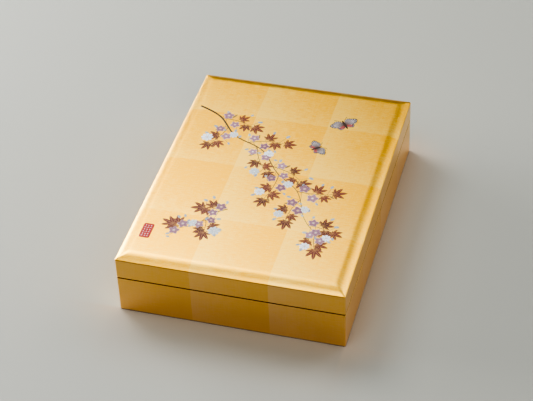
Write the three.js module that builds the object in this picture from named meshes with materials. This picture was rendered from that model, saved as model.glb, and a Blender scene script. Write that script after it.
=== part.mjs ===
// A gilded lacquer document box: a shallow rectangular base and a lift-off lid.
// The lid's flat top panel ends in a convex moulding that falls to a crisp arris above its upright side.
// Inside, a thin lip stands up from the base and goes into a rebate in the lid, so the two outsides are flush.
// Both pieces are hollow, with the walls of the real box.
//
// Millimetres, +Z up. The origin is the centre of the underside. The front is at -Y.

import * as THREE from "three";

// Outside
const boxWidth = 255; // left to right
const boxDepth = 345; // front to back
const baseHeight = 47; // underside to the base's rim
const seamGap = 1; // the open line between the base's rim and the lid's rim
const lidSide = 25.6; // the lid's upright side, from its rim to the arris

// The lid's moulding, a stretch of an upright ellipse that ends level with the top panel
const mouldingWidth = 13; // arris to the flat of the panel, seen from above
const mouldingRise = 5; // arris to the top of the panel
const mouldingEllipse = 8; // the ellipse's half height, which sets how steep the moulding is at the arris

// Walls
const floorThickness = 5; // the base's floor
const lidThickness = 5.5; // the lid's top, under its panel
const lidRim = 4.4; // the lid's side where it passes the lip
const lipClearance = 0.4; // between the lip and the lid's rebate
const lipThickness = 3.2;
const lipHeight = 10; // the lip above the base's rim; the lid's shoulder rests on its top

// Roundings
const outerCorner = 1.5; // upright outside corners
const panelCorner = 4; // the panel's corners, where the moulding's mitres fade out
const innerCorner = 3; // upright corners inside
const lipCorner = 2.5; // the lip's upright outside corners
const footRound = 1.2; // round the underside's edge
const arrisRound = 0.8; // between the moulding and the lid's side
const rimRound = 0.4; // the edges of both rims
const lipRound = 0.8; // the lip's top edges
const innerFillet = 2; // where the inside walls meet the floor and the lid's top

// Steps in the curves
const cornerSteps = 5;
const mouldingSteps = 12;
const roundSteps = 3;

// Heights and insets that follow from the sizes above
const lidRimHeight = baseHeight + seamGap;
const arrisHeight = lidRimHeight + lidSide;
const boxHeight = arrisHeight + mouldingRise;
const lipTop = baseHeight + lipHeight;
const lipInset = lidRim + lipClearance;
const wall = lipInset + lipThickness;
const insideFlat = wall + 2 * innerFillet; // past the fillets, where the floor and the lid's underside are flat
const underFlat = 2 * footRound; // past the foot's round, where the underside is flat

// A profile point: how far in from the box's outside it lies, its height, and the corner radius of the
// rectangle there. A point with a round is cut off by an arc of that radius.
const point = (inset, height, corner, round = 0) => ({ inset, height, corner, round });

// The arc that rounds one corner of a profile, tangent to the lines on both sides of it
function roundedCorner(before, corner, after) {
  const at = new THREE.Vector2(corner.inset, corner.height);
  const back = new THREE.Vector2(before.inset, before.height).sub(at).normalize();
  const on = new THREE.Vector2(after.inset, after.height).sub(at).normalize();
  const halfAngle = Math.acos(back.dot(on)) / 2;
  const toCentre = back.clone().add(on).setLength(corner.round / Math.sin(halfAngle));
  const toTangent = corner.round / Math.tan(halfAngle);
  const start = back.clone().multiplyScalar(toTangent).sub(toCentre).angle();
  const end = on.clone().multiplyScalar(toTangent).sub(toCentre).angle();
  const clockwise = back.cross(on) > 0;
  const { x, y } = at.add(toCentre);
  return new THREE.EllipseCurve(x, y, corner.round, corner.round, start, end, clockwise)
    .getPoints(roundSteps)
    .map((p) => point(p.x, p.y, corner.corner));
}

const rounded = (profile) =>
  profile.flatMap((p, i) => (p.round > 0 ? roundedCorner(profile[i - 1], p, profile[i + 1]) : [p]));

// The ring at one profile point: a rectangle with rounded corners, anticlockwise seen from above
function ring({ inset, height, corner }) {
  const x = boxWidth / 2 - inset - corner;
  const y = boxDepth / 2 - inset - corner;
  const quarter = Math.PI / 2;
  return [
    new THREE.EllipseCurve(x, y, corner, corner, 0, quarter),
    new THREE.EllipseCurve(-x, y, corner, corner, quarter, 2 * quarter),
    new THREE.EllipseCurve(-x, -y, corner, corner, 2 * quarter, 3 * quarter),
    new THREE.EllipseCurve(x, -y, corner, corner, 3 * quarter, 4 * quarter),
  ]
    .flatMap((curve) => curve.getPoints(cornerSteps))
    .flatMap((p) => [p.x, p.y, height]);
}

// A closed solid: a profile carried round the box and closed by a flat face at each of its ends.
// The profile runs with the material on its right, seen with the box's middle on the left.
function carried(profile) {
  const rings = rounded(profile).map(ring);
  const count = 4 * (cornerSteps + 1);
  const positions = rings.flat();
  const faces = [];
  for (let r = 0; r + 1 < rings.length; r++)
    for (let i = 0; i < count; i++) {
      const a = r * count + i;
      const b = r * count + ((i + 1) % count);
      faces.push(a, a + count, b, b, a + count, b + count);
    }
  const firstCentre = rings.length * count;
  const lastRing = firstCentre - count;
  positions.push(0, 0, profile[0].height, 0, 0, profile.at(-1).height);
  for (let i = 0; i < count; i++) {
    const next = (i + 1) % count;
    faces.push(firstCentre, i, next);
    faces.push(firstCentre + 1, lastRing + next, lastRing + i);
  }
  const geometry = new THREE.BufferGeometry();
  geometry.setAttribute("position", new THREE.Float32BufferAttribute(positions, 3));
  geometry.setIndex(faces);
  geometry.computeVertexNormals();
  return geometry;
}

// The moulding, from the panel's edge to just short of the arris. Its corners tighten on the way down.
function moulding() {
  const arrisAngle = Math.asin(1 - mouldingRise / mouldingEllipse);
  const halfLength = mouldingWidth / Math.cos(arrisAngle);
  const middle = boxHeight - mouldingEllipse;
  return new THREE.EllipseCurve(
    mouldingWidth, middle, halfLength, mouldingEllipse, Math.PI / 2, Math.PI - arrisAngle,
  )
    .getPoints(mouldingSteps)
    .slice(0, -1)
    .map((p) => point(p.x, p.y, THREE.MathUtils.mapLinear(p.x, 0, mouldingWidth, outerCorner, panelCorner)));
}

// The lid: panel, moulding, side, rim, rebate, shoulder on the lip, inside walls and underside
function lidGeometry() {
  const ceiling = boxHeight - lidThickness;
  const rebateCorner = lipCorner + lipClearance;
  return carried([
    ...moulding(),
    point(0, arrisHeight, outerCorner, arrisRound),
    point(0, lidRimHeight, outerCorner, rimRound),
    point(lidRim, lidRimHeight, rebateCorner, rimRound),
    point(lidRim, lipTop, rebateCorner),
    point(wall, lipTop, innerCorner),
    point(wall, ceiling, innerCorner, innerFillet),
    point(insideFlat, ceiling, innerCorner),
  ]);
}

// The base: floor, inside walls, lip, rim, side and underside
function baseGeometry() {
  return carried([
    point(insideFlat, floorThickness, innerCorner),
    point(wall, floorThickness, innerCorner, innerFillet),
    point(wall, lipTop, innerCorner, lipRound),
    point(lipInset, lipTop, lipCorner, lipRound),
    point(lipInset, baseHeight, lipCorner),
    point(0, baseHeight, outerCorner, rimRound),
    point(0, 0, outerCorner, footRound),
    point(underFlat, 0, outerCorner),
  ]);
}

// Gold leaf over lacquer: satin, with the warm yellow of the leaf
const goldLeaf = () => new THREE.MeshStandardMaterial({ color: "#d9ab57", metalness: 1, roughness: 0.4 });

function piece(name, geometry) {
  const mesh = new THREE.Mesh(geometry, goldLeaf());
  mesh.name = name;
  return mesh;
}

const box = new THREE.Group();
box.add(piece("base", baseGeometry()), piece("lid", lidGeometry()));

export default box;
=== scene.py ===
"""A document box in gold leaf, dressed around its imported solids, with a painted autumn spray on the lid.

Metres, +Z up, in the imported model's own frame. The front is at -Y.
"""

import math

import bpy
import numpy as np
from bpy.props import FloatProperty, FloatVectorProperty, PointerProperty
from mathutils import Matrix, Vector


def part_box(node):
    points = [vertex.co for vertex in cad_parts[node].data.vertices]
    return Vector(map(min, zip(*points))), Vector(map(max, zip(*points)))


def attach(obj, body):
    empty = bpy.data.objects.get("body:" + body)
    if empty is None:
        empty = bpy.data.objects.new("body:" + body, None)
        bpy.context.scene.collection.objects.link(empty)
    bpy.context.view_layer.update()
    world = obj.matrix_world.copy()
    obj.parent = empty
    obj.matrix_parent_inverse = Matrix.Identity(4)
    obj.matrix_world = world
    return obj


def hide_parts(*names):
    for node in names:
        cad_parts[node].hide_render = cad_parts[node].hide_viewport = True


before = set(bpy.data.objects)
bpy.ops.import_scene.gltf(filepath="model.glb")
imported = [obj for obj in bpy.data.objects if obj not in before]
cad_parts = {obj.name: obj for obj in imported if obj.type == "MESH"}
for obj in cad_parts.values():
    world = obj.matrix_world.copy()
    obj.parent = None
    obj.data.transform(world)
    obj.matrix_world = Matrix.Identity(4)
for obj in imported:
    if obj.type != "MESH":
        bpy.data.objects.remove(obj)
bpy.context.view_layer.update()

bl_info = {
    "name": "Gilded document box",
    "version": (1, 0),
    "blender": (4, 5, 0),
    "location": "3D View > Sidebar > Gilded box",
    "description": "Makes a gold leaf document box with a painted autumn spray, and its studio",
    "category": "Add Mesh",
}

MM = 0.001
BODY = "root"

# The box's own sizes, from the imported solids
_, BASE_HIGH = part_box("base")
LID_LOW, LID_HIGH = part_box("lid")
HALF_WIDTH = LID_HIGH.x
HALF_DEPTH = LID_HIGH.y
LID_RIM = LID_LOW.z
LIP_TOP = BASE_HIGH.z

# Sizes that the solids' boxes don't give, as the solids have them
SEAM_GAP = 1 * MM
LID_SIDE = 25.6 * MM
FLOOR_THICKNESS = 5 * MM
LID_THICKNESS = 5.5 * MM
RIM_WIDTH = 4.4 * MM
LIP_CLEARANCE = 0.4 * MM
LIP_THICKNESS = 3.2 * MM
OUTER_CORNER = 1.5 * MM
PANEL_CORNER = 4 * MM
INNER_CORNER = 3 * MM
LIP_CORNER = 2.5 * MM
FOOT_ROUND = 1.2 * MM
RIM_ROUND = 0.4 * MM
LIP_ROUND = 0.8 * MM
INNER_FILLET = 2 * MM

# Forms a little unlike the solids', for how the gold shades: a wider, softer moulding and arris, a sharper
# rim on the base, and small rounds in the creases of the rebate and the lip
MOULDING_WIDTH = 15 * MM
MOULDING_BEND = 8 * MM
GENTLE_SLOPE = 0.45
STEEP_SLOPE = 0.42
ARRIS_ROUND = 1.3 * MM
BASE_RIM_ROUND = RIM_ROUND / 3
CREASE_ROUND = RIM_ROUND / 2

# The gold of the panel lies this much below the solid's top, which leaves room for the paint
PAINT_DEPTH = 0.12 * MM

BASE_RIM = LID_RIM - SEAM_GAP
ARRIS_HEIGHT = LID_RIM + LID_SIDE
PANEL_HEIGHT = LID_HIGH.z - PAINT_DEPTH
LIP_INSET = RIM_WIDTH + LIP_CLEARANCE
WALL = LIP_INSET + LIP_THICKNESS
INSIDE_FLAT = WALL + 2 * INNER_FILLET
UNDER_FLAT = 2 * FOOT_ROUND

# Finishes of a swept surface, in the order of its materials
GOLD, LACQUER = 0, 1

# Steps in the curves
CORNER_STEPS = 8
MOULDING_STEPS = 24
ROUND_STEPS = 5

# A straight stretch longer than the first has a row at the second from each end, so that it shades flat
LONG_STRETCH = 1.4 * MM
SUPPORT = 0.5 * MM


def linear(hex_colour):
    """The linear RGBA of an sRGB hex colour such as "#ffc465"."""
    parts = [int(hex_colour[i : i + 2], 16) / 255 for i in (1, 3, 5)]
    return tuple(p / 12.92 if p <= 0.04045 else ((p + 0.055) / 1.055) ** 2.4 for p in parts) + (1.0,)


def scaled(colour, factor):
    """A linear colour made darker or lighter by a factor."""
    return tuple(part * factor for part in colour[:3]) + (1.0,)


WHITE = linear("#ffffff")


def add(tree, kind, *values, output=None, **named):
    """Adds a shader node and gives one of its outputs: the one named, or else the first that is in use.

    Values go in order to the inputs that are in use. A name with a capital is an input's, and any other is
    one of the node's settings. A socket is linked to its input, and anything else is set on it.
    """
    node = tree.nodes.new("ShaderNode" + kind)
    for name, value in named.items():
        if name.islower():
            setattr(node, name, value)
    in_use = [socket for socket in node.inputs if socket.enabled]
    inputs = [(in_use[i], value) for i, value in enumerate(values)]
    inputs += [(node.inputs[name], value) for name, value in named.items() if not name.islower()]
    for socket, value in inputs:
        if isinstance(value, bpy.types.NodeSocket):
            tree.links.new(value, socket)
        else:
            socket.default_value = value
    if output:
        return node.outputs[output]
    return next((socket for socket in node.outputs if socket.enabled), None)


def new_material(name):
    """A material with only a Principled shader, and its node tree."""
    material = bpy.data.materials.new(name)
    material.use_nodes = True
    tree = material.node_tree
    tree.nodes.clear()
    surface = add(tree, "BsdfPrincipled")
    add(tree, "OutputMaterial", surface)
    return material, tree, surface.node


# Shapes


def arc(before, corner, after, radius):
    """Rows of an arc of that radius, tangent to the straight lines from corner to before and to after."""
    back = (before - corner)[:2] / np.linalg.norm((before - corner)[:2])
    on = (after - corner)[:2] / np.linalg.norm((after - corner)[:2])
    half_angle = math.acos(float(back @ on)) / 2
    bisector = (back + on) / np.linalg.norm(back + on)
    centre = corner[:2] + bisector * radius / math.sin(half_angle)
    start = corner[:2] + back * radius / math.tan(half_angle) - centre
    end = corner[:2] + on * radius / math.tan(half_angle) - centre
    turn = math.atan2(start[0] * end[1] - start[1] * end[0], float(start @ end))
    angle = math.atan2(start[1], start[0]) + turn * np.linspace(0, 1, ROUND_STEPS + 1)
    rows = np.tile(corner, (ROUND_STEPS + 1, 1))
    rows[:, 0] = centre[0] + radius * np.cos(angle)
    rows[:, 1] = centre[1] + radius * np.sin(angle)
    return rows


def profile(points):
    """Rows of inset, height, plan corner radius and finish, from points that may also give a round.

    A point's finish is that of the stretch that starts there. Long straight stretches get a row close to
    each end, so that smooth shading stays flat between them.
    """
    plain = np.array([p[:4] for p in points], float)
    rounds = [p[4] if len(p) > 4 else 0 for p in points]
    rows = np.concatenate(
        [
            arc(plain[i - 1], plain[i], plain[i + 1], r) if r else plain[i : i + 1]
            for i, r in enumerate(rounds)
        ]
    )
    length = np.linalg.norm(np.diff(rows[:, :2], axis=0), axis=1)
    long = np.flatnonzero(length > LONG_STRETCH)
    share = (SUPPORT / length[long])[:, None]
    near_start = rows[long] * (1 - share) + rows[long + 1] * share
    near_end = rows[long] * share + rows[long + 1] * (1 - share)
    near_start[:, 3] = near_end[:, 3] = rows[long, 3]
    extra = np.stack([near_start, near_end], axis=1).reshape(-1, 4)
    return np.insert(rows, np.repeat(long + 1, 2), extra, axis=0)


def carried_round(name, rows, materials):
    """A closed surface: a profile carried round the box, with a flat face at each end of the profile.

    Each row is a rectangle with rounded corners at one inset and height. The columns run round it
    anticlockwise: a corner's arc, with one column just before it and one just after it on the sides.
    """
    angle = np.linspace(0, math.pi / 2, CORNER_STEPS + 1)
    angle = np.concatenate([angle[:1], angle, angle[-1:]])
    slide = np.zeros_like(angle)
    slide[0], slide[-1] = -SUPPORT, SUPPORT
    quarter = np.repeat(np.arange(4), len(angle))
    angle = np.tile(angle, 4) + quarter * math.pi / 2
    slide = np.tile(slide, 4)
    side_x = np.where((quarter == 0) | (quarter == 3), 1, -1)
    side_y = np.where(quarter < 2, 1, -1)
    inset, height, corner = (rows[:, i, None] for i in range(3))
    x = side_x * (HALF_WIDTH - inset - corner) + corner * np.cos(angle) - slide * np.sin(angle)
    y = side_y * (HALF_DEPTH - inset - corner) + corner * np.sin(angle) + slide * np.cos(angle)
    points = np.stack([x, y, np.broadcast_to(height, x.shape)], axis=-1)
    row_count, column_count = x.shape
    first = np.arange((row_count - 1) * column_count).reshape(row_count - 1, column_count)
    beside = np.roll(first, -1, axis=1)
    quads = np.stack([first, first + column_count, beside + column_count, beside], axis=-1).reshape(-1, 4)
    start_cap = list(range(column_count))
    end_cap = list(range(row_count * column_count - 1, (row_count - 1) * column_count - 1, -1))
    finish = np.repeat(rows[:-1, 3], column_count).astype(int)
    finish = np.concatenate([finish, [int(rows[0, 3]), int(rows[-1, 3])]])
    return new_piece(name, points.reshape(-1, 3), quads.tolist() + [start_cap, end_cap], materials, finish)


def new_piece(name, points, faces, materials, finish=None):
    """A smooth-shaded mesh object that rides on the box, from points, faces and each face's material."""
    mesh = bpy.data.meshes.new(name)
    mesh.from_pydata(points, [], faces)
    for material in materials:
        mesh.materials.append(material)
    if finish is not None:
        mesh.polygons.foreach_set("material_index", finish)
    mesh.polygons.foreach_set("use_smooth", np.ones(len(mesh.polygons), bool))
    mesh.update()
    piece = bpy.data.objects.new(name, mesh)
    bpy.context.scene.collection.objects.link(piece)
    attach(piece, BODY)
    return piece


def moulding():
    """Profile points of the lid's moulding, from the panel to just short of the arris.

    Its slope is gentle * tanh(distance / bend) + steep * (distance / width) ** 3: level at the panel, bent
    soon after it, then even, and steepest at the arris. The fall is the slope summed up, and scaled so that
    the last point would lie at the arris.
    """
    distance = MOULDING_WIDTH * np.linspace(0, 1, MOULDING_STEPS + 1)
    even = GENTLE_SLOPE * MOULDING_BEND * np.log(np.cosh(distance / MOULDING_BEND))
    steep = STEEP_SLOPE * MOULDING_WIDTH / 4 * (distance / MOULDING_WIDTH) ** 4
    fall = even + steep
    inset = (MOULDING_WIDTH - distance)[:-2]
    height = PANEL_HEIGHT - (PANEL_HEIGHT - ARRIS_HEIGHT) * (fall / fall[-1])[:-2]
    corner = OUTER_CORNER + (PANEL_CORNER - OUTER_CORNER) * inset / MOULDING_WIDTH
    return [(i, h, c, GOLD) for i, h, c in zip(inset, height, corner)]


def lid_profile():
    """Panel, moulding, side, rim, rebate, shoulder on the lip, inside walls and underside."""
    ceiling = LID_HIGH.z - LID_THICKNESS
    rebate_corner = LIP_CORNER + LIP_CLEARANCE
    panel_edge = (MOULDING_WIDTH + 2 * SUPPORT, PANEL_HEIGHT, PANEL_CORNER, GOLD)
    return profile(
        [panel_edge]
        + moulding()
        + [
            (0, ARRIS_HEIGHT, OUTER_CORNER, GOLD, ARRIS_ROUND),
            (0, LID_RIM, OUTER_CORNER, LACQUER, RIM_ROUND),
            (RIM_WIDTH, LID_RIM, rebate_corner, LACQUER, RIM_ROUND),
            (RIM_WIDTH, LIP_TOP, rebate_corner, LACQUER, CREASE_ROUND),
            (WALL, LIP_TOP, INNER_CORNER, LACQUER, RIM_ROUND),
            (WALL, ceiling, INNER_CORNER, LACQUER, INNER_FILLET),
            (INSIDE_FLAT, ceiling, INNER_CORNER, LACQUER),
        ]
    )


def base_profile():
    """Floor, inside walls, lip, rim, side and underside."""
    return profile(
        [
            (INSIDE_FLAT, FLOOR_THICKNESS, INNER_CORNER, LACQUER),
            (WALL, FLOOR_THICKNESS, INNER_CORNER, LACQUER, INNER_FILLET),
            (WALL, LIP_TOP, INNER_CORNER, LACQUER, LIP_ROUND),
            (LIP_INSET, LIP_TOP, LIP_CORNER, LACQUER, LIP_ROUND),
            (LIP_INSET, BASE_RIM, LIP_CORNER, LACQUER, CREASE_ROUND),
            (0, BASE_RIM, OUTER_CORNER, GOLD, BASE_RIM_ROUND),
            (0, 0, OUTER_CORNER, LACQUER, FOOT_ROUND),
            (UNDER_FLAT, 0, OUTER_CORNER, LACQUER),
        ]
    )


# Painted motifs. Each is worked out in millimetres on the panel, x to the right and y to the back.

OUTLINE_POINTS = 120
ROUND_ANGLE = np.arange(OUTLINE_POINTS) * 2 * math.pi / OUTLINE_POINTS - math.pi
# A shell's rings from its edge inwards, as shares of its outline, and how near upright its dome starts
RING_SHARES = np.array([1.0, 0.95, 0.84, 0.62, 0.32])
DOME_FULLNESS = 0.999
STROKE_SIDES = 8
# How far the paint's underside lies in the gold
SINK = 0.02
# Degrees between the lobes of a maple leaf
LOBE_SPACING = 39


def lobed(angle, directions, lengths, spread, blunt, heart):
    """The outer edge of pointed lobes that meet in the middle.

    A lobe's radius falls from its length at its own direction to nothing a spread away, as
    (1 - away / spread) to the power blunt. The edge is the farthest lobe, and never nearer than heart.
    """
    away = np.abs((angle[:, None] - np.radians(directions) + math.pi) % (2 * math.pi) - math.pi)
    reach = np.array(lengths) * np.clip(1 - away / math.radians(spread), 0, 1) ** blunt
    return np.maximum(reach.max(axis=1), heart)


def maple_radius(angle):
    """Seven pointed lobes round the foot of the leaf, the middle one the longest."""
    directions = np.arange(-3, 4) * LOBE_SPACING
    lengths = [0.36, 0.66, 0.9, 1.0, 0.9, 0.66, 0.36]
    return lobed(angle, directions, lengths, spread=27, blunt=0.66, heart=0.1)


def bellflower_radius(angle):
    """Five broad petals, grown together, that come to a point."""
    return lobed(angle, [0, 72, 144, 216, 288], [1.0] * 5, spread=62, blunt=0.56, heart=0.1)


def daisy_radius(angle):
    """Eight petals with round ends: 0.6 and 0.4 times the root of the size of cos(4 * angle)."""
    return 0.6 + 0.4 * np.abs(np.cos(4 * angle)) ** 0.5


def oval_radius(angle, width=0.6):
    """An oval, as long as the radius of 1 each way and narrower across."""
    return 1 / np.hypot(np.cos(angle), np.sin(angle) / width)


def blade_radius(angle):
    """A single pointed leaf that grows from its foot."""
    return lobed(angle, [0], [1.0], spread=30, blunt=0.8, heart=0.05)


def forewing_radius(angle):
    """A wing that widens from its hinge to a drawn-out tip and a slanted outer edge."""
    return lobed(angle, [14, -12], [1.0, 0.76], spread=34, blunt=0.3, heart=0.05)


def hindwing_radius(angle):
    """A round wing with a scalloped edge: its radius rises and falls by a twentieth."""
    scallops = 1 - 0.05 * np.cos(14 * angle)
    return lobed(angle, [0], [1.0], spread=42, blunt=0.34, heart=0.05) * scallops


def mark_radius(angle, half_width, half_length):
    """A rectangle with softly rounded corners: an oval of the ninth power instead of the second."""
    power = 9
    along = np.abs(np.cos(angle) / half_length) ** power
    across = np.abs(np.sin(angle) / half_width) ** power
    return (along + across) ** (-1 / power)


def shells(name, radius, places, material, low, high):
    """Thin closed shells of paint, one at each place: x, y, heading, size and tone.

    A shell is a polar grid: rings that shrink towards the middle and rise from low to high above the gold
    as a low dome, sqrt(1 - share ** 2), a side that goes a little into the gold, and a flat underside.
    """
    places = np.array(places, float)
    count = len(places)
    outline = radius[:, None] * np.stack([np.cos(ROUND_ANGLE), np.sin(ROUND_ANGLE)], axis=-1)
    own = np.concatenate([[[0, 0]], outline, *(outline * r for r in RING_SHARES), [[0, 0]]])
    edge = np.concatenate([[0], np.ones(OUTLINE_POINTS), np.repeat(RING_SHARES, OUTLINE_POINTS), [0]])
    dome = low + (high - low) * np.sqrt(1 - RING_SHARES**2 * DOME_FULLNESS)
    rise = np.concatenate([np.full(1 + OUTLINE_POINTS, -SINK), np.repeat(dome, OUTLINE_POINTS), [high]])
    cos, sin = np.cos(places[:, 2]), np.sin(places[:, 2])
    turn = np.stack([np.stack([cos, -sin], -1), np.stack([sin, cos], -1)], axis=1)
    flat = np.einsum("mij,nj->mni", turn, own) * places[:, None, 3:4] + places[:, None, :2]
    height = np.broadcast_to(PANEL_HEIGHT / MM + rise, (count, len(own)))
    points = np.concatenate([flat, height[..., None]], axis=-1) * MM
    n, levels = OUTLINE_POINTS, len(RING_SHARES) + 1
    i = np.arange(n)
    j = (i + 1) % n
    underside = np.stack([np.zeros(n, int), 1 + j, 1 + i], axis=-1)
    top = 1 + levels * n
    crown = np.stack([np.full(n, top), top - n + i, top - n + j], axis=-1)
    rings = np.arange(levels - 1)[:, None] * n + 1
    bands = np.stack([rings + i, rings + j, rings + n + j, rings + n + i], axis=-1).reshape(-1, 4)
    start = np.arange(count)[:, None, None] * len(own)
    faces = [*(start + underside).reshape(-1, 3).tolist(), *(start + bands).reshape(-1, 4).tolist()]
    faces += (start + crown).reshape(-1, 3).tolist()
    piece = new_piece(name, points.reshape(-1, 3), faces, [material])
    put_attribute(piece.data, "edge", np.tile(edge, count))
    put_attribute(piece.data, "tone", np.repeat(places[:, 4], len(own)))
    put_uv(piece.data, np.tile(own * 0.5 + 0.5, (count, 1)))
    return piece


def strokes(name, paths, widths, tones, material, low, high):
    """Closed brush strokes: a low half-oval carried along each path, with its width given point by point.

    paths is strokes by points by 2, widths strokes by points, both in millimetres. tones fits widths.
    """
    paths, widths = np.asarray(paths, float), np.asarray(widths, float)
    count, length = widths.shape
    tangent = np.gradient(paths, axis=1)
    tangent /= np.linalg.norm(tangent, axis=-1, keepdims=True)
    normal = np.stack([-tangent[..., 1], tangent[..., 0]], axis=-1)
    i = np.arange(STROKE_SIDES)
    j = (i + 1) % STROKE_SIDES
    around = i * 2 * math.pi / STROKE_SIDES
    across = -np.cos(around)
    up = np.round(np.sin(around), 6)
    rise = np.where(up < 0, -SINK, low + (high - low) * up)
    flat = paths[:, :, None] + normal[:, :, None] * (widths[..., None] / 2 * across)[..., None]
    height = np.broadcast_to(PANEL_HEIGHT / MM + rise, flat.shape[:-1])
    points = np.concatenate([flat, height[..., None]], axis=-1) * MM
    near = np.arange(length - 1)[:, None] * STROKE_SIDES
    far = near + STROKE_SIDES
    bands = np.stack([near + i, far + i, far + j, near + j], axis=-1).reshape(-1, 4)
    start = np.arange(count)[:, None] * length * STROKE_SIDES
    faces = (start[..., None] + bands).reshape(-1, 4).tolist()
    faces += (start + i).tolist()
    faces += (start + (length - 1) * STROKE_SIDES + i[::-1]).tolist()
    piece = new_piece(name, points.reshape(-1, 3), faces, [material])
    put_attribute(piece.data, "tone", np.repeat(np.broadcast_to(tones, (count, length)), STROKE_SIDES))
    return piece


def put_attribute(mesh, name, values):
    """Stores one number for each point of a mesh."""
    mesh.attributes.new(name, "FLOAT", "POINT").data.foreach_set("value", values.astype(np.float32))


def put_uv(mesh, points):
    """Stores each point's place on its own motif as the UV map."""
    corner = np.empty(len(mesh.loops), int)
    mesh.loops.foreach_get("vertex_index", corner)
    mesh.uv_layers.new(name="motif").uv.foreach_set("vector", points[corner].astype(np.float32).ravel())


# The spray's layout

BOUGH_POINTS = 90
TWIG_POINTS = 24
STALK_POINTS = 6
# The bough, from the left edge of the panel towards the near right
BOUGH = np.array(
    [(-114, 104), (-84, 88), (-58, 58), (-22, 40), (8, 2), (36, -22), (56, -66), (84, -96)], float
)
# A small sprig at the near left
SPRIG = np.array([(-30, -70), (-46, -84), (-56, -102), (-74, -112)], float)
# Each twig: where it leaves the bough as a share of it, its side, its length and how much it curls
BOUGH_TWIGS = [
    (0.13, 1, 44, 0.5),
    (0.20, -1, 38, -0.4),
    (0.33, 1, 44, 0.5),
    (0.38, -1, 50, 0.4),
    (0.52, 1, 46, 0.6),
    (0.58, -1, 46, -0.3),
    (0.70, 1, 42, -0.4),
    (0.76, -1, 38, 0.4),
    (0.90, 1, 30, 0.3),
    (0.96, -1, 26, 0.3),
]
SPRIG_TWIGS = [(0.1, -1, 22, 0.4), (0.45, 1, 24, 0.4), (0.95, -1, 12, 0.2)]
# A twig's angle to the bough in degrees, and its turn at its tip for a curl of 1, in radians, which grows
# as its share to a power
TWIG_ANGLE = 46
CURL_TURN = 1.2
CURL_POWER = 1.3
# What a twig carries: share along it, distance beside it, turn from its heading in degrees, and size
LEAVES_ON_TWIG = [(1.0, 0, 4, 14.5), (0.72, -3, -66, 12.5), (0.50, 4, 62, 13.5)]
BELLS_ON_TWIG = [(0.42, -8, 0, 6.8), (0.16, 6, 30, 6.4)]
DAISIES_ON_TWIG = [(0.80, 11, 0, 6.6), (0.30, -13, 0, 6.2)]
BLADES_ON_TWIG = [(0.28, 3, 70, 9.0), (0.88, -2, -52, 8.0)]
BUDS_ON_TWIG = [
    (0.96, 13, 40, 2.9),
    (0.66, 17, 70, 2.5),
    (0.08, 13, 80, 2.7),
    (0.62, -17, -60, 2.5),
    (0.24, -20, 0, 2.3),
]
# How uneven the motifs are: their places in millimetres, their headings in radians, and their sizes
PLACE_SCATTER = 0.8
HEADING_SCATTER = 0.16
SIZE_RANGE = (0.88, 1.1)
SPRAY_SEED = 11
# How many of the twig's points before its motif a stalk starts, and its width in millimetres
STALK_LEAD = 3
STALK_WIDTH = 0.4
# The eye of a flower, against the flower
CENTRE_SIZE = 0.17


def smooth_path(corners, count):
    """A smooth curve through some points: a natural cubic spline over their running length."""
    run = np.concatenate([[0], np.cumsum(np.linalg.norm(np.diff(corners, axis=0), axis=1))])
    n = len(run)
    h = np.diff(run)
    system = np.eye(n)
    right = np.zeros((n, 2))
    k = np.arange(1, n - 1)
    system[k, k - 1], system[k, k], system[k, k + 1] = h[:-1], 2 * (h[:-1] + h[1:]), h[1:]
    slope = np.diff(corners, axis=0) / h[:, None]
    right[1:-1] = 6 * np.diff(slope, axis=0)
    bend = np.linalg.solve(system, right)
    s = np.linspace(0, run[-1], count)
    i = np.clip(np.searchsorted(run, s, side="right") - 1, 0, n - 2)
    a, b, w = (run[i + 1] - s)[:, None], (s - run[i])[:, None], h[i][:, None]
    curved = (bend[i] * a**3 + bend[i + 1] * b**3) / (6 * w)
    return curved + (corners[i] / w - bend[i] * w / 6) * a + (corners[i + 1] / w - bend[i + 1] * w / 6) * b


def twig_paths(bough, table):
    """Twigs that each leave the bough at one angle, curl as they go, and are summed up from short steps.

    Returns the twigs' points, their headings at each point and their sides.
    """
    share, side, length, curl = np.array(table).T
    at = (share * (len(bough) - 1)).astype(int)
    run = np.gradient(bough, axis=0)
    heading = np.arctan2(run[at, 1], run[at, 0]) + side * math.radians(TWIG_ANGLE)
    s = np.linspace(0, 1, TWIG_POINTS)
    angle = heading[:, None] - (side * curl)[:, None] * s**CURL_POWER * CURL_TURN
    step = np.stack([np.cos(angle), np.sin(angle)], axis=-1) * (length / (TWIG_POINTS - 1))[:, None, None]
    return bough[at][:, None] + np.cumsum(step, axis=1) - step[:, :1], angle, side


def on_twigs(table, twigs, angles, sides, rng):
    """Places of one kind of motif along some twigs, a little uneven: x, y, heading, size and tone.

    Returns them with the stalk of each, from the twig to the motif.
    """
    share, beside, turn, size = np.array(table).T
    i = np.round(share * (TWIG_POINTS - 1)).astype(int)
    angle = angles[:, i]
    normal = np.stack([-np.sin(angle), np.cos(angle)], axis=-1) * sides[:, None, None]
    at = twigs[:, i] + normal * beside[:, None] + rng.normal(0, PLACE_SCATTER, (*angle.shape, 2))
    foot = twigs[:, np.maximum(i - STALK_LEAD, 0)]
    heading = angle + sides[:, None] * np.radians(turn) + rng.normal(0, HEADING_SCATTER, angle.shape)
    sizes = size * rng.uniform(*SIZE_RANGE, angle.shape)
    tones = rng.uniform(0, 1, angle.shape)
    places = np.concatenate([at, np.stack([heading, sizes, tones], axis=-1)], axis=-1)
    return places.reshape(-1, 5), np.stack([foot, at], axis=2).reshape(-1, 2, 2)


# Materials

# The powers that a square of gold leaf pales with towards its left edge and its near edge
PALE_LEFT_POWER = 1.7
PALE_NEAR_POWER = 2.4
# How much of the paling at the left shows in the leftmost column, and how much more in the others
PALE_LEFTMOST = 0.15
PALE_OTHERS = 0.45
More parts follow.
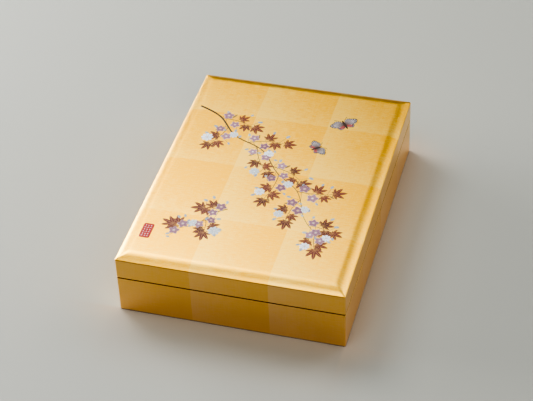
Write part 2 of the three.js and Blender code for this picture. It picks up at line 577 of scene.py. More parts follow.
# How much of the paling at the near edge shows, and how much one square differs from another by chance
PALE_NEAR = 0.5
PALE_CHANCE = 0.2

# Burnishing lines: the axis that they run along, their length and their strength. Real ones are too fine to
# show in the render, so they are drawn coarser, at this spacing
STREAKS = ((0, 9 * MM, 1.6), (1, 20 * MM, 0.6), (2, 20 * MM, 1.0))
STREAK_SPACING = 1.4 * MM
# How much they show on the sides, and how much more on the panel
STREAKS_ON_SIDES = 0.5
STREAKS_ON_PANEL = 0.7
# The leaf's roughness, how much the lines add to it, and the thin clear film over it
LEAF_ROUGHNESS = 0.4
STREAK_ROUGHNESS = 0.12
LEAF_COAT = 0.29

# How wide the uneven patches are in the lacquer, in a film of paint and in the paper
LACQUER_PATCH = 30 * MM
PAINT_PATCH = 1.4 * MM
PAPER_PATCH = 300 * MM

# Painted shade along the front, as thin darker lines below the arris and along the seam: how far in they go,
# how softly they end, and for each line its height, half its breadth and how dark it is
SHADE_LINE_DEPTH = 0.6 * MM
SHADE_LINE_FADE = 0.4 * MM
PAINTED_SHADE_LINES = (
    (ARRIS_HEIGHT - 0.5 * MM, 0.3 * MM, 0.45),
    ((LID_RIM + BASE_RIM) / 2, 0.5 * MM, 0.6),
)

# The gold's glow on the floor: how far it reaches, how much sooner it ends beside the box's corners, the
# power that it fades with, and how far it goes under the box
GLOW_FRONT_REACH = 130 * MM
GLOW_RIGHT_REACH = 90 * MM
GLOW_ASIDE = 1.5
GLOW_POWER = 2.0
GLOW_UNDER = 4 * MM


def gold_leaf(settings):
    """Gold leaf: squares of beaten gold laid edge to edge over lacquer and burnished to a satin sheen.

    Each square is deepest in colour at its far right and pales towards its left and its near edge. The
    upright sides get painted light: a paler, less saturated copy of the gold, for the pale floor that they
    reflect, and paler still towards the foot. Thin lines of painted shade darken the gold just below the
    front's arris and along the seam.
    """
    material, tree, shader = new_material("gold_leaf_satin")
    place = add(tree, "TexCoord", output="Object")
    x, y, z = add(tree, "SeparateXYZ", place).node.outputs
    normal = add(tree, "NewGeometry", output="Normal")
    facing = add(tree, "SeparateXYZ", normal).node.outputs
    face_x, face_y, face_z = (add(tree, "Math", part, operation="ABSOLUTE") for part in facing)
    # How pale each point of its square is
    u, column = leaf_share(tree, x, settings.leaf_joint_x, settings.leaf_width)
    v, row = leaf_share(tree, y, settings.leaf_joint_y, settings.leaf_depth)
    pale_left = paling(tree, u, PALE_LEFT_POWER, face_x)
    past_leftmost = add(tree, "Math", column, 1.0, operation="ADD", use_clamp=True)
    shown = add(tree, "Math", past_leftmost, PALE_OTHERS, PALE_LEFTMOST, operation="MULTIPLY_ADD")
    pale_left = add(tree, "Math", pale_left, shown, operation="MULTIPLY")
    pale_near = paling(tree, v, PALE_NEAR_POWER, face_y)
    pale = add(tree, "Math", pale_near, PALE_NEAR, pale_left, operation="MULTIPLY_ADD")
    chance = add(tree, "TexWhiteNoise", add(tree, "CombineXYZ", column, row), noise_dimensions="3D")
    pale = add(tree, "Math", chance, PALE_CHANCE, pale, operation="MULTIPLY_ADD")
    streaks = leaf_streaks(tree, place)
    shown = add(tree, "Math", face_z, STREAKS_ON_PANEL, STREAKS_ON_SIDES, operation="MULTIPLY_ADD")
    pale = add(tree, "Math", streaks, shown, pale, operation="MULTIPLY_ADD", use_clamp=True)
    # The panel's gold, which gives way to the sides' painted-light copy, paler and less saturated, as the
    # moulding turns down
    top = add(tree, "Mix", pale, settings.gold_deep, settings.gold_pale, data_type="RGBA")
    towards_foot = add(tree, "MapRange", z, LID_RIM, -LID_RIM)
    pale = add(tree, "Math", pale, towards_foot, operation="ADD")
    side = add(tree, "Mix", pale, settings.painted_light_side_deep, settings.painted_light_side_pale, data_type="RGBA")
    upward = add(tree, "MapRange", face_z, 0.2, 0.8)
    colour = add(tree, "Mix", upward, side, top, data_type="RGBA")
    # Painted shade: the dark lines below the arris and along the seam, red-brown and without the clear film's
    # sheen
    front = add(tree, "Math", y, -HALF_DEPTH + SHADE_LINE_DEPTH, operation="LESS_THAN")
    painted_shade = 0.0
    for height, reach, darkness in PAINTED_SHADE_LINES:
        past = add(tree, "Math", z, height, operation="SUBTRACT")
        away = add(tree, "Math", past, operation="ABSOLUTE")
        near = add(tree, "MapRange", away, reach + SHADE_LINE_FADE, reach)
        near = add(tree, "Math", near, darkness, operation="MULTIPLY")
        near = add(tree, "Math", near, front, operation="MULTIPLY")
        painted_shade = add(tree, "Math", painted_shade, near, operation="MAXIMUM")
    colour = add(tree, "Mix", painted_shade, colour, settings.painted_shade, data_type="RGBA")
    edge_tint = add(tree, "Mix", painted_shade, WHITE, settings.painted_shade, data_type="RGBA")
    coat = add(tree, "Math", painted_shade, -LEAF_COAT, LEAF_COAT, operation="MULTIPLY_ADD")
    rough = add(tree, "Math", streaks, STREAK_ROUGHNESS, LEAF_ROUGHNESS, operation="MULTIPLY_ADD")
    tree.links.new(colour, shader.inputs["Base Color"])
    tree.links.new(edge_tint, shader.inputs["Specular Tint"])
    tree.links.new(coat, shader.inputs["Coat Weight"])
    tree.links.new(rough, shader.inputs["Roughness"])
    shader.inputs["Metallic"].default_value = 1.0
    shader.inputs["Coat Roughness"].default_value = 0.25
    return material


def leaf_share(tree, coordinate, joint, pitch):
    """How far across its leaf a point lies, from 0 at one joint to 1 at the next, and the leaf's number."""
    past = add(tree, "Math", coordinate, joint, operation="SUBTRACT")
    turns = add(tree, "Math", past, pitch, operation="DIVIDE")
    return add(tree, "Math", turns, operation="FRACT"), add(tree, "Math", turns, operation="FLOOR")


def paling(tree, share, power, facing):
    """How pale a leaf is at a share across it: (1 - share) to a power, and none on faces seen side on."""
    left = add(tree, "Math", 1.0, share, operation="SUBTRACT")
    pale = add(tree, "Math", left, power, operation="POWER")
    kept = add(tree, "Math", 1.0, facing, operation="SUBTRACT")
    return add(tree, "Math", pale, kept, operation="MULTIPLY")


def leaf_streaks(tree, place):
    """Fine lines along each axis, as burnishing leaves them: noise drawn out along the axis and summed."""
    total = None
    for along, length, strength in STREAKS:
        scale = [1 / STREAK_SPACING] * 3
        scale[along] = 1 / length
        spot = add(tree, "Mapping", Vector=place, Scale=scale)
        noise = add(tree, "TexNoise", Vector=spot, Scale=1.0, Detail=2.0)
        part = add(tree, "Math", noise, 0.5, operation="SUBTRACT")
        part = add(tree, "Math", part, strength, operation="MULTIPLY")
        total = part if total is None else add(tree, "Math", total, part, operation="ADD")
    return total


def dark_lacquer(settings):
    """Red-brown lacquer, brushed on in coats and polished: a deep gloss, a little uneven in its depth."""
    material, tree, shader = new_material("dark_lacquer_polished")
    place = add(tree, "TexCoord", output="Object")
    clouds = add(tree, "TexNoise", Vector=place, Scale=1 / LACQUER_PATCH, Detail=3.0)
    thick = scaled(settings.lacquer, 0.8)
    thin = scaled(settings.lacquer, 1.25)
    colour = add(tree, "Mix", clouds, thick, thin, data_type="RGBA")
    tree.links.new(colour, shader.inputs["Base Color"])
    shader.inputs["Roughness"].default_value = 0.22
    shader.inputs["IOR"].default_value = 1.52
    return material


def pale_floor(settings):
    """Matt paper sweep: plain and pale, and warmer close to the box, where the gold throws light on it."""
    material, tree, shader = new_material("paper_sweep_matt")
    place = add(tree, "TexCoord", output="Object")
    clouds = add(tree, "TexNoise", Vector=place, Scale=1 / PAPER_PATCH, Detail=1.0)
    colour = add(tree, "Mix", clouds, scaled(settings.floor, 0.985), settings.floor, data_type="RGBA")
    x, y, _ = add(tree, "SeparateXYZ", place).node.outputs
    from_middle_x = add(tree, "Math", x, operation="ABSOLUTE")
    from_middle_y = add(tree, "Math", y, operation="ABSOLUTE")
    beside_x = add(tree, "Math", from_middle_x, HALF_WIDTH, operation="SUBTRACT")
    beside_y = add(tree, "Math", from_middle_y, HALF_DEPTH, operation="SUBTRACT")
    past_front = add(tree, "Math", -HALF_DEPTH, y, operation="SUBTRACT")
    past_right = add(tree, "Math", x, HALF_WIDTH, operation="SUBTRACT")
    for past, beside, tint, reach in (
        (past_front, beside_x, settings.glow_front, GLOW_FRONT_REACH),
        (past_right, beside_y, settings.glow_right, GLOW_RIGHT_REACH),
    ):
        aside = add(tree, "Math", beside, 0.0, operation="MAXIMUM")
        aside = add(tree, "Math", aside, GLOW_ASIDE, operation="MULTIPLY")
        ahead = add(tree, "Math", past, 0.0, operation="MAXIMUM")
        away = add(tree, "Math", ahead, aside, operation="ADD")
        glow = add(tree, "MapRange", away, reach, 0.0)
        glow = add(tree, "Math", glow, GLOW_POWER, operation="POWER")
        outside = add(tree, "MapRange", past, -GLOW_UNDER, 0.0)
        glow = add(tree, "Math", glow, outside, operation="MULTIPLY")
        colour = add(tree, "Mix", glow, colour, tint, data_type="RGBA")
    tree.links.new(colour, shader.inputs["Base Color"])
    shader.inputs["Roughness"].default_value = 0.7
    return material


def motif_place(tree):
    """A point's distance from the middle of its own motif, and its direction from the motif's heading."""
    u, v, _ = add(tree, "SeparateXYZ", add(tree, "UVMap", uv_map="motif")).node.outputs
    x = add(tree, "Math", u, 2.0, -1.0, operation="MULTIPLY_ADD")
    y = add(tree, "Math", v, 2.0, -1.0, operation="MULTIPLY_ADD")
    y_square = add(tree, "Math", y, y, operation="MULTIPLY")
    squares = add(tree, "Math", x, x, y_square, operation="MULTIPLY_ADD")
    return add(tree, "Math", squares, operation="SQRT"), add(tree, "Math", y, x, operation="ARCTAN2")


def rays(tree, reach, angle, spacing, thickness, strength):
    """A strength on lines that run out from the middle every so many degrees, and 0 off them.

    It falls evenly to 0 at thickness, a share of the motif's size, from the middle of the line.
    """
    spacing = math.radians(spacing)
    turns = add(tree, "Math", angle, spacing, operation="DIVIDE")
    nearest = add(tree, "Math", turns, operation="ROUND")
    past = add(tree, "Math", turns, nearest, operation="SUBTRACT")
    off = add(tree, "Math", past, operation="ABSOLUTE")
    off = add(tree, "Math", off, spacing, operation="MULTIPLY")
    gap = add(tree, "Math", off, reach, operation="MULTIPLY")
    gap = add(tree, "Math", gap, thickness, operation="DIVIDE")
    line = add(tree, "Math", 1.0, gap, operation="SUBTRACT", use_clamp=True)
    return add(tree, "Math", line, strength, operation="MULTIPLY")


def finish_paint(tree, shader, colour, roughness):
    """Brushed-on paint: the given colour with an uneven film, so that it darkens where it lies thicker."""
    place = add(tree, "TexCoord", output="Object")
    film = add(tree, "TexNoise", Vector=place, Scale=1 / PAINT_PATCH, Detail=2.0)
    thickness = add(tree, "MapRange", film, 0.4, 0.75)
    darker = add(tree, "HueSaturation", Color=colour, Value=0.7)
    colour = add(tree, "Mix", thickness, colour, darker, data_type="RGBA")
    tree.links.new(colour, shader.inputs["Base Color"])
    shader.inputs["Roughness"].default_value = roughness
    shader.inputs["IOR"].default_value = 1.5


def maple_paint(settings):
    """Rust lacquer paint on the maple leaves: a fine gold midrib down each lobe, redder at the tips."""
    material, tree, shader = new_material("rust_lacquer_paint")
    reach, angle = motif_place(tree)
    tone = add(tree, "Attribute", attribute_name="tone", output="Fac")
    body = add(tree, "Mix", tone, settings.leaf_dark, settings.leaf_light, data_type="RGBA")
    outward = add(tree, "MapRange", reach, 0.1, 0.9)
    body = add(tree, "Mix", outward, body, settings.leaf_light, data_type="RGBA")
    midribs = rays(tree, reach, angle, spacing=LOBE_SPACING, thickness=0.035, strength=0.5)
    body = add(tree, "Mix", midribs, body, settings.vein, data_type="RGBA")
    finish_paint(tree, shader, body, roughness=0.4)
    return material


def bell_paint(settings):
    """Mauve lacquer paint on the bellflowers: a white rim, a pale star in the middle and deep lines."""
    material, tree, shader = new_material("mauve_lacquer_paint")
    reach, angle = motif_place(tree)
    tone = add(tree, "Attribute", attribute_name="tone", output="Fac")
    body = add(tree, "Mix", tone, settings.bell_deep, settings.bell_light, data_type="RGBA")
    lines = rays(tree, reach, angle, spacing=24, thickness=0.035, strength=0.5)
    body = add(tree, "Mix", lines, body, settings.bell_deep, data_type="RGBA")
    outside_star = add(tree, "MapRange", reach, 0.16, 0.34)
    star = add(tree, "Math", 1.0, outside_star, operation="SUBTRACT")
    star = add(tree, "Math", star, 0.25, operation="MULTIPLY")
    body = add(tree, "Mix", star, body, settings.white_paint, data_type="RGBA")
    edge = add(tree, "Attribute", attribute_name="edge", output="Fac")
    rim = add(tree, "MapRange", edge, 0.86, 0.93)
    rim = add(tree, "Math", rim, 0.35, operation="MULTIPLY")
    body = add(tree, "Mix", rim, body, settings.white_paint, data_type="RGBA")
    finish_paint(tree, shader, body, roughness=0.45)
    return material


def daisy_paint(settings):
    """Shell-white paint on the daisies, with grey-blue lines between the petals."""
    material, tree, shader = new_material("shell_white_paint")
    reach, angle = motif_place(tree)
    between = add(tree, "Math", angle, math.radians(22.5), operation="ADD")
    lines = rays(tree, reach, between, spacing=45, thickness=0.07, strength=0.7)
    tone = add(tree, "Attribute", attribute_name="tone", output="Fac")
    tint = add(tree, "Math", tone, 0.8, operation="MULTIPLY")
    body = add(tree, "Mix", tint, settings.white_paint, settings.bud_blue, data_type="RGBA")
    body = add(tree, "Mix", lines, body, settings.line_grey, data_type="RGBA")
    finish_paint(tree, shader, body, roughness=0.5)
    return material


def wing_paint(settings):
    """Slate and rust lacquer paint on the wings: dark veins from the hinge and a dark, spotted border."""
    material, tree, shader = new_material("wing_lacquer_paint")
    reach, angle = motif_place(tree)
    tone = add(tree, "Attribute", attribute_name="tone", output="Fac")
    body = add(tree, "Mix", tone, settings.wing, settings.vermilion, data_type="RGBA")
    whitening = add(tree, "Math", tone, -0.35, 0.4, operation="MULTIPLY_ADD")
    outward = add(tree, "MapRange", reach, 0.1, 0.75)
    whitening = add(tree, "Math", outward, whitening, operation="MULTIPLY")
    body = add(tree, "Mix", whitening, body, settings.white_paint, data_type="RGBA")
    veins = rays(tree, reach, angle, spacing=9, thickness=0.02, strength=0.7)
    body = add(tree, "Mix", veins, body, settings.twig_dark, data_type="RGBA")
    edge = add(tree, "Attribute", attribute_name="edge", output="Fac")
    border = add(tree, "MapRange", edge, 0.72, 0.86)
    body = add(tree, "Mix", border, body, settings.wing_border, data_type="RGBA")
    row_start = add(tree, "MapRange", edge, 0.84, 0.87)
    row_end = add(tree, "MapRange", edge, 0.96, 0.93)
    spot_row = add(tree, "Math", row_start, row_end, operation="MULTIPLY")
    spots = rays(tree, reach, angle, spacing=9, thickness=0.035, strength=spot_row)
    body = add(tree, "Mix", spots, body, settings.white_paint, data_type="RGBA")
    finish_paint(tree, shader, body, roughness=0.45)
    return material


def plain_paint(name, dark, light):
    """Lacquer paint of one hue, brushed on and satin: it goes from dark to light by each motif's tone."""
    material, tree, shader = new_material(name)
    tone = add(tree, "Attribute", attribute_name="tone", output="Fac")
    finish_paint(tree, shader, add(tree, "Mix", tone, dark, light, data_type="RGBA"), roughness=0.45)
    return material


# Settings


def colour_setting(name, description, hex_colour):
    """A colour that a user can change."""
    colour = linear(hex_colour)
    return FloatVectorProperty(
        name=name, description=description, default=colour, size=4, min=0, max=1, subtype="COLOR"
    )


def length_setting(name, description, millimetres):
    """A length that a user can change."""
    return FloatProperty(name=name, description=description, default=millimetres * MM, unit="LENGTH")


def angle_setting(name, description, degrees):
    """An angle that a user can change."""
    return FloatProperty(
        name=name, description=description, default=math.radians(degrees), subtype="ANGLE"
    )


class BoxSettings(bpy.types.PropertyGroup):
    """Sizes and colours of the gold leaf and the lacquer."""

    leaf_width: length_setting("Leaf width", "Gold leaf squares, left to right", 87.3)
    leaf_depth: length_setting("Leaf depth", "Gold leaf squares, front to back", 92.7)
    leaf_joint_x: length_setting("Leaf joint X", "Where one joint that runs front to back lies", -44)
    leaf_joint_y: length_setting("Leaf joint Y", "Where one joint that runs left to right lies", 4.7)
    gold_deep: colour_setting("Deep gold", "Panel gold at its most saturated", "#f6bc3e")
    gold_pale: colour_setting("Pale gold", "Panel gold where a leaf is palest", "#f7cf6c")
    # The sides' gold: painted light, a paler and less saturated copy of the panel's for the floor that the
    # upright sides reflect
    painted_light_side_deep: colour_setting("Deep side gold", "Gold of the sides at its most saturated", "#f1c16b")
    painted_light_side_pale: colour_setting("Pale side gold", "Gold of the sides where it is palest", "#f4ca8c")
    # Painted shade: the colour of the dark lines below the front's arris and along the seam
    painted_shade: colour_setting("Painted shade on gold", "Dark lines below the front's arris and along the seam", "#a04c34")
    lacquer: colour_setting("Lacquer", "Inside, rims and underside", "#4a2014")


class PaintSettings(bpy.types.PropertyGroup):
    """Colours of the painted spray, the butterflies and the mark."""

    leaf_dark: colour_setting("Leaf, dark", "Maple leaf near its foot", "#43201a")
    leaf_light: colour_setting("Leaf, light", "Maple leaf at its tips", "#76362a")
    vein: colour_setting("Midrib", "Gold lines on the leaves", "#d9a35c")
    blade: colour_setting("Blade", "Faint olive-gold leaves", "#8f7440")
    bell_deep: colour_setting("Bellflower, deep", "Mauve", "#865c6e")
    bell_light: colour_setting("Bellflower, light", "Mauve", "#ad8896")
    white_paint: colour_setting("White", "Daisies and rims", "#e8ebf0")
    bud_blue: colour_setting("Bud", "Pale blue of the buds", "#a9b3b2")
    line_grey: colour_setting("Petal line", "Lines between the daisies' petals", "#8b99a6")
    twig_dark: colour_setting("Twig, dark", "The bough", "#40291e")
    twig_light: colour_setting("Twig, light", "Thin stalks", "#8a7446")
    vermilion: colour_setting("Vermilion", "The square mark", "#b53029")
    wing: colour_setting("Wing", "Slate grey of the wings", "#6f6c68")
    wing_border: colour_setting("Wing border", "Dark edge of the wings", "#43362f")


class StageSettings(bpy.types.PropertyGroup):
    """The studio: floor and camera."""

    floor: colour_setting("Floor", "Colour of the paper sweep", "#9d9e97")
    glow_front: colour_setting("Front glow", "Paper at the front's foot", "#a0978a")
    glow_right: colour_setting("Right glow", "Paper at the right side's foot", "#afa191")
    azimuth: angle_setting("Azimuth", "The camera's turn from the front to the right", 16.81)
    elevation: angle_setting("Elevation", "The camera's height as an angle", 40.58)
    roll: angle_setting("Roll", "The camera's tilt", -2.45)
    distance: length_setting("Distance", "From the camera to the point it looks at", 1918.3)
    focal_length: FloatProperty(
        name="Focal length", description="In millimetres, for a picture 36 mm wide", default=109.21
    )


# Operators


class BOX_OT_gilded_base(bpy.types.Operator):
    """Make the gilded base with its lacquered inside"""

    bl_idname = "gilded_box.base"
    bl_label = "Gilded base"

    def execute(self, context):
        settings = context.scene.gilded_box
        piece = carried_round("gilded_base", base_profile(), [gold_leaf(settings), dark_lacquer(settings)])
        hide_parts("base")
        return {"FINISHED"}


class BOX_OT_gilded_lid(bpy.types.Operator):
    """Make the gilded lid with its moulding"""

    bl_idname = "gilded_box.lid"
    bl_label = "Gilded lid"

    def execute(self, context):
        settings = context.scene.gilded_box
        piece = carried_round("gilded_lid", lid_profile(), [gold_leaf(settings), dark_lacquer(settings)])
        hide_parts("lid")
        return {"FINISHED"}


# Paint is laid in layers, each from a low edge to a high middle in millimetres above the gold: strokes
# first, then leaves, then flowers, and what crosses them last.


class BOX_OT_painted_spray(bpy.types.Operator):
    """Paint the bough and the sprig, with their twigs, leaves, flowers and buds, on the lid"""

    bl_idname = "gilded_box.spray"
    bl_label = "Painted spray"

    def execute(self, context):
        settings = context.scene.gilded_box_paint
        rng = np.random.default_rng(SPRAY_SEED)
        bough = smooth_path(BOUGH, BOUGH_POINTS)
        sprig = smooth_path(SPRIG, BOUGH_POINTS)
        grown = [twig_paths(bough, BOUGH_TWIGS), twig_paths(sprig, SPRIG_TWIGS)]
        twigs, angles, sides = (np.concatenate(part) for part in zip(*grown))
        leaves, leaf_stalks = on_twigs(LEAVES_ON_TWIG, twigs, angles, sides, rng)
        bells, bell_stalks = on_twigs(BELLS_ON_TWIG, twigs, angles, sides, rng)
        # Every second twig bears daisies
        white = slice(1, None, 2)
        daisies, daisy_stalks = on_twigs(DAISIES_ON_TWIG, twigs[white], angles[white], sides[white], rng)
        blades, _ = on_twigs(BLADES_ON_TWIG, twigs, angles, sides, rng)
        buds, bud_stalks = on_twigs(BUDS_ON_TWIG, twigs, angles, sides, rng)
        bark = plain_paint("brown_lacquer_paint", settings.twig_dark, settings.twig_light)
        paint_wood(bough, sprig, twigs, bark)
        stalks = np.concatenate([leaf_stalks, bell_stalks, daisy_stalks, bud_stalks])
        share = np.linspace(0, 1, STALK_POINTS)[None, :, None]
        lines = stalks[:, None, 0] * (1 - share) + stalks[:, None, 1] * share
        widths = np.full(lines.shape[:2], STALK_WIDTH)
        strokes("painted_stalks", lines, widths, 0.9, bark, low=0.01, high=0.03)
        olive = plain_paint("olive_gold_paint", settings.blade, settings.twig_light)
        shells("painted_blades", blade_radius(ROUND_ANGLE), blades, olive, low=0.02, high=0.04)
        rust = maple_paint(settings)
        shells("painted_leaves", maple_radius(ROUND_ANGLE), leaves, rust, low=0.03, high=0.06)
        blue = plain_paint("pale_blue_paint", settings.line_grey, settings.bud_blue)
        shells("painted_buds", oval_radius(ROUND_ANGLE), buds, blue, low=0.03, high=0.065)
        mauve = bell_paint(settings)
        shells("painted_bellflowers", bellflower_radius(ROUND_ANGLE), bells, mauve, low=0.045, high=0.09)
        shell_white = daisy_paint(settings)
        shells("painted_daisies", daisy_radius(ROUND_ANGLE), daisies, shell_white, low=0.045, high=0.09)
        centres = np.concatenate([bells, daisies])
        centres[:, 3] *= CENTRE_SIZE
        ochre = plain_paint("ochre_paint", settings.vein, settings.white_paint)
        shells("painted_flower_centres", oval_radius(ROUND_ANGLE, 1.0), centres, ochre, low=0.06, high=0.11)
        return {"FINISHED"}


def paint_wood(bough, sprig, twigs, bark):
    """The bough, the sprig and the twigs, each thinner and paler towards its tip.

    The bough narrows from 2.6 to 0.6 mm by what is left of its run to the power 1.8. The sprig narrows
    evenly from 1.2 to 0.5 mm, and a twig from 0.95 to 0.4 mm.
    """
    run = np.linspace(0, 1, BOUGH_POINTS)
    bough_width = 0.6 + 2.0 * (1 - run) ** 1.8
    sprig_width = 0.5 + 0.7 * (1 - run)
    widths = np.stack([bough_width, sprig_width])
    tones = np.stack([run * 0.7, 0.5 + 0.3 * run])
    strokes("painted_boughs", np.stack([bough, sprig]), widths, tones, bark, low=0.01, high=0.045)
    widths = np.tile(np.linspace(0.95, 0.4, TWIG_POINTS), (len(twigs), 1))
    tones = np.linspace(0.35, 0.8, TWIG_POINTS)
    strokes("painted_twigs", twigs, widths, tones, bark, low=0.01, high=0.035)


# Each butterfly: x, y, heading and the length of its forewing
BUTTERFLIES = [(62, 106, 2.2, 18.0), (40, 56, 0.7, 15.0)]
# Each pair of wings: outline, direction from the body's heading, length against the forewing, tone and lift
WINGS = [("hind", hindwing_radius, 122, 0.66, 0.85, 0.0), ("fore", forewing_radius, 62, 1.0, 0.1, 0.015)]
SIDES = (("left", 1), ("right", -1))
# Half the body's length against the forewing, and its breadth against its length
BODY_LENGTH = 0.46
BODY_BREADTH = 0.2
# Where the feelers start and end, against the forewing, and their width in millimetres
FEELERS = (0.35, 0.85)
FEELER_WIDTH = 0.45
FEELER_POINTS = 8


class BOX_OT_butterflies(bpy.types.Operator):
    """Paint two butterflies beside the spray"""

    bl_idname = "gilded_box.butterflies"
    bl_label = "Painted butterflies"

    def execute(self, context):
        settings = context.scene.gilded_box_paint
        slate = wing_paint(settings)
        bark = plain_paint("dark_lacquer_paint", settings.twig_dark, settings.twig_dark)
        insects = np.array(BUTTERFLIES, float)
        for name, radius, direction, length, tone, lift in WINGS:
            for side, turn in SIDES:
                places = np.column_stack([insects, np.full(len(insects), tone)])
                places[:, 2] += math.radians(direction) * turn
                places[:, 3] *= length
                outline = radius(ROUND_ANGLE * turn)
                low, high = 0.03 + lift, 0.06 + lift
                shells(f"painted_{name}wings_{side}", outline, places, slate, low, high)
        bodies = np.column_stack([insects, np.zeros(len(insects))])
        bodies[:, 3] *= BODY_LENGTH
        body = oval_radius(ROUND_ANGLE, BODY_BREADTH)
        shells("painted_butterfly_bodies", body, bodies, bark, low=0.06, high=0.11)
        run = np.linspace(*FEELERS, FEELER_POINTS)
        for side, turn in SIDES:
            # A feeler turns away from the body's heading, and the more so the farther it goes
            angle = insects[:, 2, None] + turn * (0.1 + 0.55 * run)
            reach = insects[:, 3, None] * run
            feelers = np.stack([np.cos(angle) * reach, np.sin(angle) * reach], axis=-1) + insects[:, None, :2]
            widths = np.full(angle.shape, FEELER_WIDTH)
            strokes(f"painted_feelers_{side}", feelers, widths, 0.0, bark, low=0.02, high=0.05)
        return {"FINISHED"}


# The mark, in millimetres: its middle, half its width and length, and its strokes' columns, rows, half
# length and width
MARK_PLACE = (-106.5, -124.2)
MARK_HALF = (6.0, 11.7)
MARK_COLUMNS = (-3.0, 0.0, 3.0)
MARK_ROWS = np.arange(6) * 3.4 - 8.5
MARK_STROKE_HALF = 0.95
MARK_STROKE_WIDTH = 0.55
MARK_STROKE_POINTS = 4


class BOX_OT_painted_mark(bpy.types.Operator):
    """Paint the small vermilion mark, with rows of short strokes that say nothing"""

    bl_idname = "gilded_box.mark"
    bl_label = "Painted mark"

    def execute(self, context):
        settings = context.scene.gilded_box_paint
        red = plain_paint("vermilion_paint", settings.vermilion, settings.vermilion)
        place = [(*MARK_PLACE, math.pi / 2, 1.0, 0.5)]
        shells("painted_mark", mark_radius(ROUND_ANGLE, *MARK_HALF), place, red, low=0.04, high=0.06)
        column, row = np.meshgrid(MARK_COLUMNS, MARK_ROWS)
        upright = (np.arange(column.size) % 2).astype(bool)
        middle = np.stack([column.ravel(), row.ravel()], axis=-1) + MARK_PLACE
        along = np.where(upright[:, None], (0.0, 1.0), (1.0, 0.0))
        run = np.linspace(-MARK_STROKE_HALF, MARK_STROKE_HALF, MARK_STROKE_POINTS)
        lines = middle[:, None] + along[:, None] * run[None, :, None]
        widths = np.full(lines.shape[:2], MARK_STROKE_WIDTH)
        pale = plain_paint("mark_stroke_paint", settings.white_paint, settings.white_paint)
        strokes("painted_mark_strokes", lines, widths, 0.5, pale, low=0.06, high=0.09)
        return {"FINISHED"}


class BOX_OT_studio_stage(bpy.types.Operator):
    """Make the floor, the lights and the camera"""

    bl_idname = "gilded_box.stage"
    bl_label = "Studio stage"

    def execute(self, context):
        stage = context.scene.gilded_box_stage
        make_floor(stage)
        make_lights()
        make_camera(context.scene, stage)
        context.scene.view_settings.view_transform = "AgX"
        context.scene.view_settings.look = "AgX - Very High Contrast"
        return {"FINISHED"}


# How far the floor reaches from the middle of the box
FLOOR_REACH = 4.0


def make_floor(stage):
    """A flat square of paper, with its top at the box's underside."""
    reach = FLOOR_REACH
    corners = [(-reach, -reach, 0), (reach, -reach, 0), (reach, reach, 0), (-reach, reach, 0)]
    mesh = bpy.data.meshes.new("floor")
    mesh.from_pydata(corners, [], [(0, 1, 2, 3)])
    mesh.materials.append(pale_floor(stage))
    floor = bpy.data.objects.new("floor", mesh)
    bpy.context.scene.collection.objects.link(floor)


# The soft boxes are discs of one size at one distance from the box
SOFT_BOX_SIZE = 1.0
SOFT_BOX_DISTANCE = 2.2
SURROUND = 0.05
# Each soft box: azimuth from the back towards the right, elevation and power
LIGHTS = {
    "low_left": (270, 8, 53.2),
    "low_left_middle": (285, 8, 14.7),
    "low_back_left": (300, 8, 28.3),
    "high_back_left": (305, 50, 21.0),
    "back_left": (328, 36, 1.4),
    "high_back": (343, 56, 5.8),
    "high_back_right": (42, 46, 5.4),
    "back_right": (50, 34, 5.5),
    "low_right": (72, 10, 7.6),
    "front_right": (150, 40, 10.2),
    "overhead_front": (190, 70, 8.4),
    "front": (200, 48, 3.7),
}


def make_lights():
    """Round soft boxes aimed at the box, and a dim even surround."""
    for name, (azimuth, elevation, power) in LIGHTS.items():
        a, e = math.radians(azimuth), math.radians(elevation)
        towards = Vector((math.sin(a) * math.cos(e), math.cos(a) * math.cos(e), math.sin(e)))
        light = bpy.data.lights.new(name, "AREA")
        light.shape = "DISK"
        light.size = SOFT_BOX_SIZE
        light.energy = power
        lamp = bpy.data.objects.new(name, light)
        lamp.location = towards * SOFT_BOX_DISTANCE
        lamp.rotation_euler = towards.to_track_quat("Z", "Y").to_euler()
        bpy.context.scene.collection.objects.link(lamp)
    world = bpy.data.worlds.new("surround")
    world.use_nodes = True
    background = world.node_tree.nodes["Background"]
    background.inputs["Color"].default_value = WHITE
    background.inputs["Strength"].default_value = SURROUND
    bpy.context.scene.world = world


# The point that the camera looks at
LOOK_AT = Vector((-17.8 * MM, 41.1 * MM, 0))
# The width in millimetres that its focal length is given for
FILM_WIDTH = 36
# Its shift in pixels, in a picture of this width
PICTURE_WIDTH = 533
SHIFT_RIGHT, SHIFT_DOWN = 0.5, 0.25


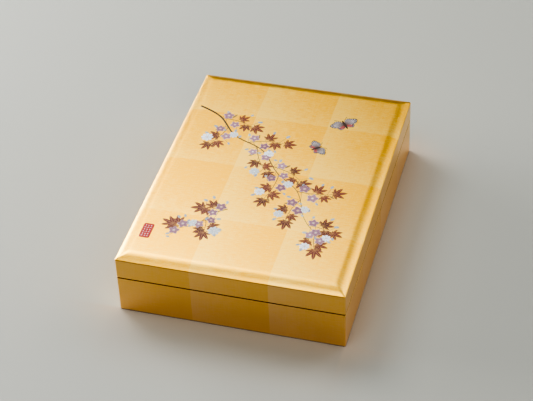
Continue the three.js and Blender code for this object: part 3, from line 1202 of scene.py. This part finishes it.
def make_camera(scene, stage):
    """A camera on a sphere round the point it looks at, rolled about its own line of sight."""
    a, e = stage.azimuth, stage.elevation
    back = Vector((math.sin(a) * math.cos(e), -math.cos(a) * math.cos(e), math.sin(e)))
    right = (-back).cross(Vector((0, 0, 1))).normalized()
    up = right.cross(-back)
    c, s = math.cos(stage.roll), math.sin(stage.roll)
    turned_right = right * c + up * s
    turned_up = up * c - right * s
    lens = bpy.data.cameras.new("camera")
    lens.sensor_fit = "HORIZONTAL"
    lens.sensor_width = FILM_WIDTH
    lens.lens = stage.focal_length
    lens.clip_start = 0.05
    lens.shift_x = -SHIFT_RIGHT / PICTURE_WIDTH
    lens.shift_y = SHIFT_DOWN / PICTURE_WIDTH
    camera = bpy.data.objects.new("camera", lens)
    turn = Matrix((turned_right, turned_up, back)).transposed().to_4x4()
    camera.matrix_world = Matrix.Translation(LOOK_AT + back * stage.distance) @ turn
    scene.collection.objects.link(camera)
    scene.camera = camera


class BOX_PT_panel(bpy.types.Panel):
    """Buttons for each piece of the box, and its settings"""

    bl_idname = "BOX_PT_panel"
    bl_label = "Gilded document box"
    bl_space_type = "VIEW_3D"
    bl_region_type = "UI"
    bl_category = "Gilded box"

    def draw(self, context):
        scene = context.scene
        for operator in OPERATORS:
            self.layout.operator(operator.bl_idname)
        for group in (scene.gilded_box, scene.gilded_box_paint, scene.gilded_box_stage):
            for name in group.__annotations__:
                self.layout.prop(group, name)


OPERATORS = (
    BOX_OT_gilded_base,
    BOX_OT_gilded_lid,
    BOX_OT_painted_spray,
    BOX_OT_butterflies,
    BOX_OT_painted_mark,
    BOX_OT_studio_stage,
)
CLASSES = (BoxSettings, PaintSettings, StageSettings, *OPERATORS, BOX_PT_panel)


def register():
    """Registers the classes and puts their settings on the scene."""
    for cls in CLASSES:
        bpy.utils.register_class(cls)
    bpy.types.Scene.gilded_box = PointerProperty(type=BoxSettings)
    bpy.types.Scene.gilded_box_paint = PointerProperty(type=PaintSettings)
    bpy.types.Scene.gilded_box_stage = PointerProperty(type=StageSettings)


def unregister():
    """Takes the settings and the classes away again."""
    del bpy.types.Scene.gilded_box_stage
    del bpy.types.Scene.gilded_box_paint
    del bpy.types.Scene.gilded_box
    for cls in reversed(CLASSES):
        bpy.utils.unregister_class(cls)


def main():
    """Makes every piece and the stage."""
    register()
    bpy.ops.gilded_box.base()
    bpy.ops.gilded_box.lid()
    bpy.ops.gilded_box.spray()
    bpy.ops.gilded_box.butterflies()
    bpy.ops.gilded_box.mark()
    bpy.ops.gilded_box.stage()


if __name__ == "__main__":
    main()
